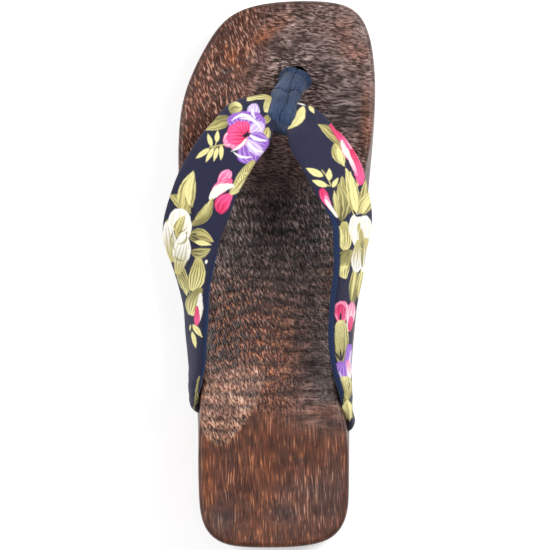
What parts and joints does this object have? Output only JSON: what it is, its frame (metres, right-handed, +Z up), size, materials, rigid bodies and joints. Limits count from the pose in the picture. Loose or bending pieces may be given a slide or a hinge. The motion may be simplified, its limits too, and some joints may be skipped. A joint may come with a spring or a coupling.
{
  "type": "geta sandal",
  "caption": "Left geta sandal: foot-shaped burnt wooden sole with raised heel and arched waist on rubber treads, padded floral cloth strap held at the toe by a velour loop.",
  "frame": {"origin": "on the ground under the heel seat, in the middle of the heel tread", "axes": "+Y from the heel to the toe, +X to the inner, big toe side of a left foot, +Z up"},
  "size_m": [0.0929, 0.24, 0.0718],
  "materials": {
    "wood": "burnt and brushed cedar, dark brown with light streaks, glossy",
    "rubber": "matt black rubber",
    "print_cloth": "navy cloth with a floral print and a blue lining",
    "velour": "blue velour"
  },
  "bodies": {
    "root": {"base": "wood", "heel_tread": "rubber", "forefoot_tread": "rubber", "strap": "print_cloth", "toe_loop": "velour"}
  },
  "joints": []
}
